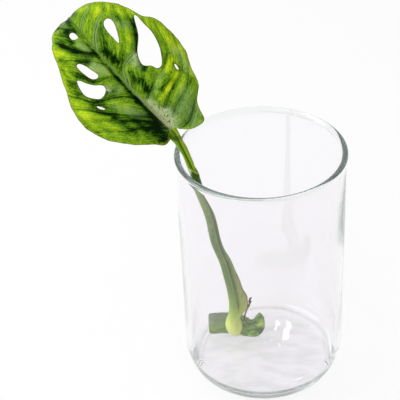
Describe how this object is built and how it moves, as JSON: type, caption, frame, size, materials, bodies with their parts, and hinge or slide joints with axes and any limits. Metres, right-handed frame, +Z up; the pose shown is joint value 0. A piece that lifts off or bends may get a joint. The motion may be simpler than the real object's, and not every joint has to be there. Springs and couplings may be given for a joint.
{
  "type": "swiss cheese vine cutting in a glass vase",
  "caption": "Cutting of a swiss cheese vine: a perforated leaf on a long stalk that grows from a short length of stem, standing in a clear straight glass and leaning on its rim.",
  "frame": {"origin": "centre of the glass's round foot, on the surface that it stands on", "axes": "+Z up along the glass's axis, -Y towards the viewer, +X to the viewer's right; the leaf leans out over the rim at -X, -Y"},
  "size_m": [0.1204, 0.074, 0.1865],
  "materials": {
    "glass": "clear, fire-polished",
    "stem": "satin green plant skin, pale brown at the cuts",
    "stalk": "satin grey-green to yellow-green plant skin",
    "leaf": "satin green leaf with a pale midrib",
    "dry_sheath": "dry brown papery husk",
    "bud": "satin pale green bud"
  },
  "bodies": {
    "root": {"glass_vase": "glass", "stem_section": "stem", "leaf_stalk": "stalk", "leaf_blade": "leaf", "dry_sheath": "dry_sheath", "axillary_bud": "bud"}
  },
  "joints": []
}
